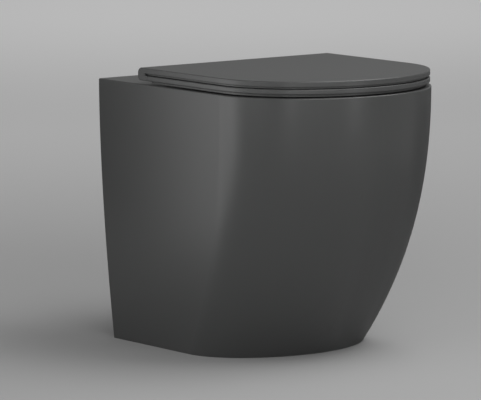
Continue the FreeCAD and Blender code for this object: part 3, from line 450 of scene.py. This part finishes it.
def thread_rings(sizes, start, end):
    """Rings of a stud's or a screw's thread between two heights."""
    radius, depth, pitch = sizes.stud_radius, sizes.thread_depth, sizes.thread_pitch

    def ring_at(height):
        def ring(angle):
            crest = math.cos(2 * math.pi * height / pitch - angle)
            return radius - depth / 2 * (1 - crest), height
        return ring
    count = round(abs(end - start) / pitch * THREAD_STEPS)
    return [ring_at(start + (end - start) * step / count) for step in range(count + 1)]


def hexagon_rings(flats, thickness):
    """The outside of a nut or a screw head, with both faces chamfered round."""
    half = flats / 2
    face = half * NUT_FACE
    slope = math.tan(NUT_CHAMFER)

    def reach(angle):
        return half / math.cos((angle + math.pi / 6) % (math.pi / 3) - math.pi / 6)

    def lower_edge(angle):
        return reach(angle), (reach(angle) - face) * slope

    def upper_edge(angle):
        return reach(angle), thickness - (reach(angle) - face) * slope
    return [(face, 0.0), lower_edge, upper_edge, (face, thickness)]


def nut_mesh(sizes, thickness, origin, axis):
    """A hexagonal nut with a chamfered bore."""
    bore = sizes.stud_radius
    rings = hexagon_rings(sizes.nut_flats, thickness)
    rings += [(bore + NUT_LEAD, thickness), (bore, thickness - NUT_LEAD), (bore, NUT_LEAD), (bore + NUT_LEAD, 0.0)]
    return turned(rings, origin, axis, closed=True)


def plate_ring(outer, inner, thickness, edge):
    """A flat round plate with a hole and rounded rims."""
    soft = edge / 3
    return [(outer - edge, 0.0), (outer - soft, soft), (outer, edge), (outer, thickness - edge),
            (outer - soft, thickness - soft), (outer - edge, thickness), (inner + soft, thickness),
            (inner, thickness - soft), (inner, soft), (inner + soft, 0.0)]


def block_mesh(low, high, edge):
    """A block with rounded edges."""
    build = bmesh.new()
    bmesh.ops.create_cube(build, size=1.0)
    size, middle = Vector(high) - Vector(low), (Vector(high) + Vector(low)) / 2
    for point in build.verts:
        point.co = Vector(a * b for a, b in zip(point.co, size)) + middle
    bmesh.ops.bevel(build, geom=build.edges[:], offset=edge, segments=BLOCK_STEPS, profile=0.5, affect="EDGES")
    build.verts.index_update()
    mesh = [v.co.copy() for v in build.verts], [tuple(v.index for v in f.verts) for f in build.faces]
    build.free()
    return mesh


def round_outline(s, t, radius):
    """Points round a hole."""
    turns = [2 * math.pi * step / TURNED_STEPS for step in range(TURNED_STEPS)]
    return [(s + radius * math.cos(turn), t + radius * math.sin(turn)) for turn in turns]


def rounded_outline(length, width, corner):
    """Points round a rectangle with rounded corners."""
    centres = ((length - corner, width - corner), (corner, width - corner),
               (corner, corner), (length - corner, corner))
    points = []
    for quarter, (s, t) in enumerate(centres):
        for step in range(QUARTER_STEPS + 1):
            turn = math.pi / 2 * (quarter + step / QUARTER_STEPS)
            points.append((s + corner * math.cos(turn), t + corner * math.sin(turn)))
    return points


def flat_blank(outlines, folds):
    """A flat sheet with holes, cut across where it folds."""
    build = bmesh.new()
    for outline in outlines:
        points = [build.verts.new((s, t, 0.0)) for s, t in outline]
        for here, there in zip(points, points[1:] + points[:1]):
            build.edges.new((here, there))
    bmesh.ops.triangle_fill(build, use_beauty=True, use_dissolve=False, edges=build.edges[:])
    for fold in folds:
        bmesh.ops.bisect_plane(build, geom=build.verts[:] + build.edges[:] + build.faces[:],
                               dist=MERGE_DISTANCE, plane_co=(fold, 0.0, 0.0), plane_no=(1.0, 0.0, 0.0))
    return build


def face_towards(build, place):
    """Turns the faces of a folded sheet towards a place in its cross-section."""
    for face in build.faces:
        face.normal_update()
        centre = face.calc_center_median()
        if face.normal.dot(Vector((place.x - centre.x, 0.0, place.z - centre.z))) < 0:
            face.normal_flip()


def solid_sheet(mesh, name, gauge):
    """Thickens a sheet along its normals and rounds its rims."""
    sheet = bpy.data.objects.new(name + "_sheet", mesh)
    bpy.context.scene.collection.objects.link(sheet)
    thick = sheet.modifiers.new("gauge", "SOLIDIFY")
    thick.thickness, thick.offset, thick.use_even_offset = gauge, 1.0, True
    rim = sheet.modifiers.new("rim", "BEVEL")
    rim.width, rim.segments = SHEET_RIM, RIM_STEPS
    rim.limit_method, rim.angle_limit = "ANGLE", RIM_ANGLE
    solid = bpy.data.meshes.new_from_object(sheet.evaluated_get(bpy.context.evaluated_depsgraph_get()))
    bpy.data.objects.remove(sheet)
    bpy.data.meshes.remove(mesh)
    return solid


def mesh_from(build, name):
    """Ends the building of a mesh."""
    mesh = bpy.data.meshes.new(name)
    build.to_mesh(mesh)
    build.free()
    return mesh


def finish_piece(mesh, name, material, body, nodes):
    """Puts a mesh in the scene as a piece that rides on a body in place of CAD nodes."""
    mesh.polygons.foreach_set("use_smooth", [True] * len(mesh.polygons))
    mesh.set_sharp_from_angle(angle=SHARP_ANGLE)
    mesh.materials.append(material)
    piece = bpy.data.objects.new(name, mesh)
    bpy.context.scene.collection.objects.link(piece)
    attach(piece, body)
    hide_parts(*nodes)


def add_piece(meshes, name, material, body, slot, *nodes):
    """A piece from points and faces."""
    build = bmesh.new()
    for points, faces in meshes:
        made = [build.verts.new(point) for point in points]
        for face in faces:
            build.faces.new([made[index] for index in face])
    bmesh.ops.remove_doubles(build, verts=build.verts, dist=MERGE_DISTANCE)
    bmesh.ops.recalc_face_normals(build, faces=build.faces)
    finish_piece(mesh_from(build, name), name, material, body, nodes)


# Pieces

class TOILET_OT_china(bpy.types.Operator):
    """Gives the pan its matt dark glaze"""

    bl_idname = "toilet.china"
    bl_label = "China pan"

    def execute(self, context):
        finish = context.scene.toilet_finish
        glaze = finish_material("matt_dark_glaze", "china", finish.china, finish.china_roughness)
        dress(CHINA_NODES, glaze)
        return {"FINISHED"}


class TOILET_OT_seat_and_lid(bpy.types.Operator):
    """Gives the seat and the lid their satin resin"""

    bl_idname = "toilet.seat_and_lid"
    bl_label = "Seat and lid"

    def execute(self, context):
        finish = context.scene.toilet_finish
        resin = finish_material("satin_dark_resin", "resin", finish.resin, finish.resin_roughness)
        dress(RESIN_NODES, resin)
        return {"FINISHED"}


class TOILET_OT_rubber(bpy.types.Operator):
    """Adds the buffers and the ribbed inlet seal, and gives the plugs their rubber"""

    bl_idname = "toilet.rubber"
    bl_label = "Rubber pieces"

    def buffers(self, node, body, sizes, rubber):
        """Four round buffers with a dimpled face."""
        low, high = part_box(node)
        radius, thickness = sizes.buffer_radius, high[2] - low[2] - sizes.buffer_peg
        side, front, rear = high[0] - radius, low[1] + radius, high[1] - radius
        quarter = thickness / 4
        floor, rim, depth = BUFFER_DIMPLE
        rings = [(0.0, quarter * depth), (radius * floor, quarter * depth), (radius * rim, 0.0)]
        rings += [(radius - quarter * inset, quarter * height) for inset, height in BUFFER_EDGE]
        rings += [(radius, thickness), (0.0, thickness)]
        places = [(side, rear), (-side, rear), (sizes.buffer_front, front), (-sizes.buffer_front, front)]
        meshes = [turned(rings, (x, y, low[2]), UP) for x, y in places]
        add_piece(meshes, node + "_rubber", rubber, body, "rubber", node)

    def seal(self, sizes, rubber):
        """The flush pipe's seal, with a grooved flange and with lips in its sleeve."""
        low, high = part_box("flush_inlet_seal")
        middle = middle_of("flush_inlet_seal")
        bore, flange = sizes.pipe_radius, (high[0] - low[0]) / 2
        sleeve, length = bore + SEAL_WALL, high[1] - low[1]
        rings = [(bore + out, depth) for out, depth in SEAL_GROOVE]
        rings += [(flange - inset, depth) for inset, depth in SEAL_FRONT_EDGE]
        rings += [(flange - inset, SEAL_FLANGE - depth) for inset, depth in SEAL_BACK_EDGE]
        rings += [(sleeve, SEAL_FLANGE), (sleeve, length - SEAL_TAPER), (sleeve - SEAL_TIP, length),
                  (bore + SEAL_MOUTH, length)]
        pitch = (length - 2 * LIP_MARGIN) / LIP_COUNT
        for lip in range(LIP_COUNT):
            top = length - LIP_MARGIN - lip * pitch
            rings += [(bore, top), (bore, top - LIP_WIDTH), (bore + LIP_DEPTH, top - LIP_SLOPE),
                      (bore + LIP_DEPTH, top - pitch + LIP_LEAD)]
        mesh = turned(rings, (middle.x, high[1], middle.z), FORWARD, closed=True)
        add_piece([mesh], "flush_inlet_seal_rubber", rubber, "pan", "rubber", "flush_inlet_seal")

    def execute(self, context):
        finish = context.scene.toilet_finish
        sizes = context.scene.toilet_hardware
        rubber = finish_material("black_rubber", "rubber", finish.rubber, ROUGHNESS["rubber"])
        dress(RUBBER_NODES, rubber)
        self.buffers("seat_buffers", "seat", sizes, rubber)
        self.buffers("lid_buffers", "lid", sizes, rubber)
        self.seal(sizes, rubber)
        return {"FINISHED"}


class TOILET_OT_hinges(bpy.types.Operator):
    """Adds the posts, base discs and buttons, and gives the hinges their steel, plastic and nylon"""

    bl_idname = "toilet.hinges"
    bl_label = "Hinges"

    def post(self, name, sizes, bright):
        """A turned post with a groove for its clip, on a threaded stud."""
        low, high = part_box(name)
        middle = middle_of(name)
        disc_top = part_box("hinge_base_discs")[1][2]
        groove_low, groove_high = disc_top + POST_GROOVE - GROOVE_HALF, disc_top + POST_GROOVE + GROOVE_HALF
        radius, neck = sizes.post_radius, sizes.groove_radius
        rings = [(0.0, high[2]), (radius - POST_CHAMFER, high[2]), (radius, high[2] - POST_CHAMFER),
                 (radius, groove_high), (neck, groove_high), (neck, groove_low), (radius, groove_low),
                 (radius, disc_top)]
        rings += thread_rings(sizes, disc_top, low[2] + THREAD_RUN_OUT)
        rings += [(sizes.stud_radius - POST_TIP, low[2]), (0.0, low[2])]
        mesh = turned(rings, (middle.x, middle.y, 0.0), UP)
        add_piece([mesh], name + "_turned", bright, "pan", "steel", name)

    def discs(self, sizes, bright):
        """The round plates under the hinge blocks."""
        low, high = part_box("hinge_base_discs")
        rings = plate_ring((high[1] - low[1]) / 2, sizes.stud_radius, high[2] - low[2], DISC_EDGE)
        meshes = []
        for side in SIDES:
            middle = middle_of("hinge_post_" + side)
            meshes.append(turned(rings, (middle.x, middle.y, low[2]), UP, closed=True))
        add_piece(meshes, "hinge_base_discs_turned", bright, "pan", "steel", "hinge_base_discs")

    def button(self, side, plastic):
        """A push button with grip ridges on its head and a flat stem behind."""
        name = "release_button_" + side
        low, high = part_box(name)
        middle = middle_of(name)
        head_back = low[1] + BUTTON_HEAD
        half_width, half_height = STEM_HALF
        meshes = [block_mesh((low[0], low[1] + RIDGE_HEIGHT, low[2]), (high[0], head_back, high[2]), BUTTON_EDGE),
                  block_mesh((middle.x - half_width, head_back - STEM_ROOT, middle.z - half_height),
                             (middle.x + half_width, high[1], middle.z + half_height), STEM_EDGE)]
        for level in RIDGE_LEVELS:
            height = middle.z + level
            meshes.append(block_mesh(
                (low[0] + RIDGE_INSET, low[1], height - RIDGE_HALF),
                (high[0] - RIDGE_INSET, low[1] + 2 * RIDGE_HEIGHT, height + RIDGE_HALF), RIDGE_EDGE))
        add_piece(meshes, name + "_ridged", plastic, "release_" + side, "button_plastic", name)

    def execute(self, context):
        finish = context.scene.toilet_finish
        sizes = context.scene.toilet_hardware
        bright = finish_material("brushed_steel", "steel", finish.steel, ROUGHNESS["steel"], metallic=1.0)
        plastic = finish_material("hinge_plastic", "hinge", finish.hinge, ROUGHNESS["hinge"])
        button = finish_material("button_plastic", "button", finish.button, ROUGHNESS["button"])
        nylon = finish_material("nylon", "nylon", finish.nylon, ROUGHNESS["nylon"])
        dress(BRIGHT_NODES, bright)
        dress(HINGE_NODES, plastic)
        dress(NYLON_NODES, nylon)
        self.discs(sizes, bright)
        for side in SIDES:
            self.post("hinge_post_" + side, sizes, bright)
            self.button(side, button)
        return {"FINISHED"}


class TOILET_OT_fixings(bpy.types.Operator):
    """Adds the folded floor brackets, the threaded screws, the nuts and washers and the pads"""

    bl_idname = "toilet.fixings"
    bl_label = "Fixings"

    def washers_and_nuts(self, sizes, zinc):
        """The washers and nuts that hold the hinge posts from below."""
        washers, nuts = [], []
        low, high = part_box("fixing_washers")
        nut_low, nut_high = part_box("fixing_nuts")
        rings = plate_ring((high[1] - low[1]) / 2, sizes.stud_radius, high[2] - low[2], WASHER_EDGE)
        for side in SIDES:
            post = middle_of("hinge_post_" + side)
            washers.append(turned(rings, (post.x, post.y, low[2]), UP, closed=True))
            nuts.append(nut_mesh(sizes, nut_high[2] - nut_low[2], (post.x, post.y, nut_low[2]), UP))
        add_piece(washers, "fixing_washers_pressed", zinc, "pan", "zinced_steel", "fixing_washers")
        add_piece(nuts, "fixing_nuts_chamfered", zinc, "pan", "zinced_steel", "fixing_nuts")

    def pad_rings(self, radius, sizes):
        """A round pad with a grooved back for the end of a clamp screw."""
        rings = [(sizes.stud_radius + PAD_CLEARANCE, 0.0)]
        rings += [(radius * share, depth) for share, depth in PAD_GROOVE]
        rings += [(radius - inset, depth) for inset, depth in PAD_BACK_EDGE]
        rings += [(radius - inset, PAD_THICKNESS - depth) for inset, depth in PAD_FACE_EDGE]
        return rings + [(0.0, PAD_THICKNESS)]

    def clamps(self, sizes, zinc, nylon):
        """The clamp screws, their locknuts, and the pads that press on the skirt."""
        screws, nuts, pads = [], [], []
        middle = middle_of("clamp_screws")
        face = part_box("floor_bracket_right")[1][0]
        rod_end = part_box("clamp_screws")[1][0]
        low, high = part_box("bracket_pads")
        head_end = face - sizes.sheet_gauge - SCREW_REACH
        rod = thread_rings(sizes, head_end + SCREW_HEAD, rod_end - THREAD_RUN_OUT)
        rod += [(sizes.stud_radius - SCREW_TIP, rod_end), (0.0, rod_end)]
        head = [(0.0, 0.0)] + hexagon_rings(sizes.nut_flats, SCREW_HEAD) + [(0.0, SCREW_HEAD)]
        pad = self.pad_rings((high[2] - low[2]) / 2, sizes)
        for side in SIDES.values():
            axis = (side, 0, 0)
            screws.append(turned(rod, (0.0, middle.y, middle.z), axis))
            screws.append(turned(head, (side * head_end, middle.y, middle.z), axis))
            nuts.append(nut_mesh(sizes, SCREW_HEAD, (side * face, middle.y, middle.z), axis))
            pads.append(turned(pad, (side * (high[0] - PAD_THICKNESS), middle.y, middle.z), axis))
        add_piece(screws, "clamp_screws_threaded", zinc, "pan", "zinced_steel", "clamp_screws")
        add_piece(nuts, "clamp_locknuts_chamfered", zinc, "pan", "zinced_steel", "clamp_locknuts")
        add_piece(pads, "bracket_pads_moulded", nylon, "pan", "nylon", "bracket_pads")

    def bracket(self, name, side, sizes, zinc):
        """An angle folded from sheet, with a hole for a floor screw and one for the clamp screw."""
        low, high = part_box(name)
        outer = max(abs(low[0]), abs(high[0]))
        foot, width = high[0] - low[0], high[1] - low[1]
        bend, gauge = sizes.sheet_bend, sizes.sheet_gauge
        flat, arc = foot - bend, math.pi / 2 * bend
        clamp = middle_of("clamp_screws").z
        outlines = [rounded_outline(flat + arc + high[2] - bend, width, sizes.sheet_corner),
                    round_outline(foot / 2 - gauge / 2, width / 2, sizes.floor_hole),
                    round_outline(flat + arc + clamp - bend, width / 2, sizes.stud_radius)]
        build = flat_blank(outlines, [flat + arc * step / QUARTER_STEPS for step in range(QUARTER_STEPS + 1)])
        for point in build.verts:
            s, t = point.co.x, point.co.y
            turn = min(max(s - flat, 0.0), arc) / bend
            x = outer - foot + min(s, flat) + bend * math.sin(turn)
            z = bend * (1 - math.cos(turn)) + max(s - flat - arc, 0.0)
            point.co = (side * x, low[1] + t, z)
        face_towards(build, Vector((side * (outer - foot), 0.0, high[2])))
        thickened = solid_sheet(mesh_from(build, name), name, gauge)
        finish_piece(thickened, name + "_folded", zinc, "pan", [name])

    def execute(self, context):
        finish = context.scene.toilet_finish
        sizes = context.scene.toilet_hardware
        zinc = finish_material("zinc_plate", "zinc", finish.zinc, ROUGHNESS["zinc"], metallic=1.0)
        nylon = finish_material("pad_nylon", "nylon", finish.nylon, ROUGHNESS["nylon"])
        self.washers_and_nuts(sizes, zinc)
        self.clamps(sizes, zinc, nylon)
        for side, sign in SIDES.items():
            self.bracket("floor_bracket_" + side, sign, sizes, zinc)
        return {"FINISHED"}


# Stage

def direction(azimuth, elevation):
    """The way out from the toilet at an angle round from the front and an angle up from the level."""
    return Vector((math.sin(azimuth) * math.cos(elevation), -math.cos(azimuth) * math.cos(elevation),
                   math.sin(elevation)))


def around(azimuth, distance, height):
    """A place round the toilet, by its angle in degrees from the front."""
    turn = math.radians(azimuth)
    return Vector((math.sin(turn) * distance, -math.cos(turn) * distance, height))


def area_light(name, azimuth, elevation, distance, size, power, aim, spread):
    """A rectangular lamp that faces a place and that the camera doesn't see."""
    away = direction(math.radians(azimuth), math.radians(elevation))
    lamp = bpy.data.lights.new(name, "AREA")
    lamp.shape = "RECTANGLE"
    lamp.size, lamp.size_y = size
    lamp.energy = power
    lamp.spread = math.radians(spread)
    holder = bpy.data.objects.new(name, lamp)
    holder.location = Vector(aim) + away * distance
    holder.rotation_euler = away.to_track_quat("Z", "Y").to_euler()
    holder.visible_camera = False
    bpy.context.scene.collection.objects.link(holder)


def flat_piece(name, corners, material):
    """One flat face of the stage."""
    mesh = bpy.data.meshes.new(name)
    mesh.from_pydata(corners, [], [tuple(range(len(corners)))])
    mesh.materials.append(material)
    piece = bpy.data.objects.new(name, mesh)
    bpy.context.scene.collection.objects.link(piece)
    return piece


def pale_floor(stage):
    """One large plain floor, darker round the toilet as painted shade and paler far from it as painted light."""
    material, shader = plain_material("pale_floor", MATT)
    shader.inputs["Specular IOR Level"].default_value = 0.0
    tree = material.node_tree
    place = add_node(tree, "ShaderNodeTexCoord", (-900, 0))
    away = add_node(tree, "ShaderNodeVectorMath", (-700, 0), operation="LENGTH")
    share = add_node(tree, "ShaderNodeMapRange", (-500, 0),
                     [("From Min", stage.near_reach), ("From Max", stage.far_reach)],
                     interpolation_type="SMOOTHSTEP")
    # Mix of the darker near colour, painted shade, and the paler far colour, painted light, by distance from the
    # toilet
    tint = add_node(tree, "ShaderNodeMix", (-250, 0),
                    [("A", stage.shaded_floor_colour), ("B", stage.lit_far_colour)], data_type="RGBA")
    tree.links.new(place.outputs["Object"], away.inputs[0])
    tree.links.new(away.outputs["Value"], share.inputs["Value"])
    tree.links.new(share.outputs["Result"], tint.inputs["Factor"])
    tree.links.new(tint.outputs["Result"], shader.inputs["Base Color"])
    half = stage.floor_size / 2
    floor = flat_piece("floor", [(-half, -half, 0), (half, -half, 0), (half, half, 0), (-half, half, 0)], material)


def dark_card(name, corners, tone):
    """A dark card that only reflections see, so that the pan's edges don't mirror the pale floor and world: a
    painted dark reflection of shade.
    """
    material, shader = plain_material(name, MATT)
    shader.inputs["Base Color"].default_value = (tone, tone, tone, 1.0)
    card = flat_piece(name, corners, material)
    for sight in ("visible_camera", "visible_diffuse", "visible_shadow"):
        setattr(card, sight, False)


def upright_card(name, first, last, tone):
    """A low dark card that stands on the floor round the toilet, between two angles, seen only as a painted dark
    reflection.
    """
    dark_card(name, [around(first, CARD_DISTANCE, 0.0), around(last, CARD_DISTANCE, 0.0),
                     around(last, CARD_DISTANCE, CARD_HEIGHT), around(first, CARD_DISTANCE, CARD_HEIGHT)], tone)


def floor_card(name, first, last, tone):
    """A dark card that lies round the foot of the pan, between two angles, seen only as a painted dark reflection
    of the shaded floor there.
    """
    near, far = FLOOR_CARD_REACH
    turns = [first + (last - first) * step / CARD_STEPS for step in range(CARD_STEPS + 1)]
    dark_card(name, [around(turn, near, CARD_LIFT) for turn in turns]
              + [around(turn, far, CARD_LIFT) for turn in reversed(turns)], tone)


def set_camera(stage):
    """The camera at the photograph's angle."""
    camera = bpy.data.cameras.new("camera")
    camera.sensor_width = SENSOR_MM
    camera.lens = stage.focal_pixels * SENSOR_MM / IMAGE_WIDTH
    camera.clip_end = CLIP_END
    back = direction(stage.azimuth, stage.elevation)
    holder = bpy.data.objects.new("camera", camera)
    holder.location = Vector(stage.target) + back * stage.distance
    holder.rotation_euler = back.to_track_quat("Z", "Y").to_euler()
    bpy.context.scene.collection.objects.link(holder)
    bpy.context.scene.camera = holder


def set_world(stage):
    """Even pale light from all around, dimmer behind the toilet on the right."""
    world = bpy.data.worlds.new("studio")
    world.use_nodes = True
    tree = world.node_tree
    background = tree.nodes["Background"]
    background.inputs["Strength"].default_value = stage.world_level
    place = add_node(tree, "ShaderNodeTexCoord", (-900, 0))
    toward = add_node(tree, "ShaderNodeVectorMath", (-700, 0), [(1, Vector(DIM_SIDE).normalized())],
                      operation="DOT_PRODUCT")
    level = add_node(tree, "ShaderNodeMapRange", (-500, 0),
                     [("From Min", DIM_START), ("From Max", 1.0), ("To Min", 1.0), ("To Max", stage.dim_level)],
                     interpolation_type="SMOOTHSTEP")
    tree.links.new(place.outputs["Generated"], toward.inputs[0])
    tree.links.new(toward.outputs["Value"], level.inputs["Value"])
    tree.links.new(level.outputs["Result"], background.inputs["Color"])
    bpy.context.scene.world = world


class TOILET_OT_stage(bpy.types.Operator):
    """Adds the floor, the lamps, the cards and the camera"""

    bl_idname = "toilet.stage"
    bl_label = "Stage"

    def execute(self, context):
        stage = context.scene.toilet_stage
        pale_floor(stage)
        set_world(stage)
        for name, values in LAMPS.items():
            area_light(name, *values)
        for name, values in UPRIGHT_CARDS.items():
            upright_card(name, *values)
        for name, values in FLOOR_CARDS.items():
            floor_card(name, *values)
        set_camera(stage)
        context.scene.view_settings.view_transform = "Standard"
        return {"FINISHED"}


class TOILET_PT_panel(bpy.types.Panel):
    """Lists the toilet's pieces and finishes."""

    bl_idname = "TOILET_PT_panel"
    bl_label = "Toilet"
    bl_space_type = "VIEW_3D"
    bl_region_type = "UI"
    bl_category = "Toilet"

    def draw(self, context):
        for operator in OPERATORS:
            self.layout.operator(operator.bl_idname)
        scene = context.scene
        for group in (scene.toilet_finish, scene.toilet_hardware, scene.toilet_stage):
            box = self.layout.box()
            for name in group.bl_rna.properties.keys():
                if name not in ("rna_type", "name"):
                    box.prop(group, name)


OPERATORS = (TOILET_OT_china, TOILET_OT_seat_and_lid, TOILET_OT_rubber, TOILET_OT_hinges,
             TOILET_OT_fixings, TOILET_OT_stage)
CLASSES = (ToiletFinish, ToiletHardware, ToiletStage) + OPERATORS + (TOILET_PT_panel,)


def register():
    for cls in CLASSES:
        bpy.utils.register_class(cls)
    bpy.types.Scene.toilet_finish = bpy.props.PointerProperty(type=ToiletFinish)
    bpy.types.Scene.toilet_hardware = bpy.props.PointerProperty(type=ToiletHardware)
    bpy.types.Scene.toilet_stage = bpy.props.PointerProperty(type=ToiletStage)


def unregister():
    del bpy.types.Scene.toilet_finish
    del bpy.types.Scene.toilet_hardware
    del bpy.types.Scene.toilet_stage
    for cls in reversed(CLASSES):
        bpy.utils.unregister_class(cls)


def main():
    register()
    bpy.ops.toilet.china()
    bpy.ops.toilet.seat_and_lid()
    bpy.ops.toilet.rubber()
    bpy.ops.toilet.hinges()
    bpy.ops.toilet.fixings()
    bpy.ops.toilet.stage()


if __name__ == "__main__":
    main()
